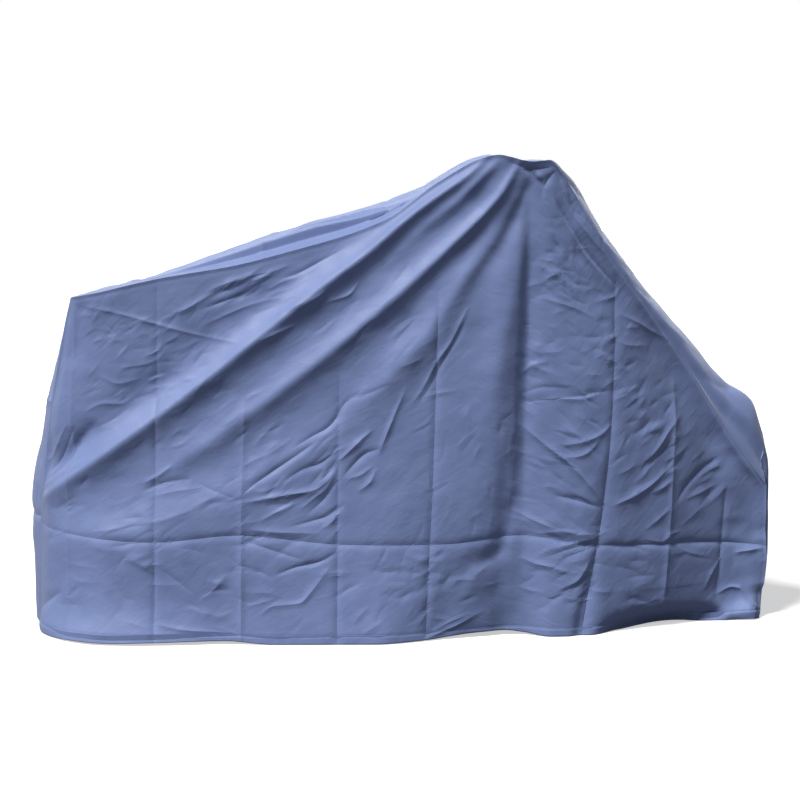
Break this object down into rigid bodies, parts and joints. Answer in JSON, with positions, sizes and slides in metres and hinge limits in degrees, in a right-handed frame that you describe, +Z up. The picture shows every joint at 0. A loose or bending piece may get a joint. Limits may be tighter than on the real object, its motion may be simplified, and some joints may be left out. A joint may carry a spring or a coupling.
{
  "type": "tricycle cover",
  "caption": "Slate-blue coated cloth cover, fitted over an adult tricycle: two side panels and a centre gusset in soft hanging folds, open below.",
  "frame": {"origin": "centre of the cover's footprint on the ground", "axes": "+X towards the front wheel, -Y towards the near side panel, +Z up"},
  "size_m": [1.896, 0.881, 1.1665],
  "materials": {
    "cover_cloth": "satin"
  },
  "bodies": {
    "root": {"side_panel_near": "cover_cloth", "side_panel_far": "cover_cloth", "centre_gusset": "cover_cloth"}
  },
  "joints": []
}
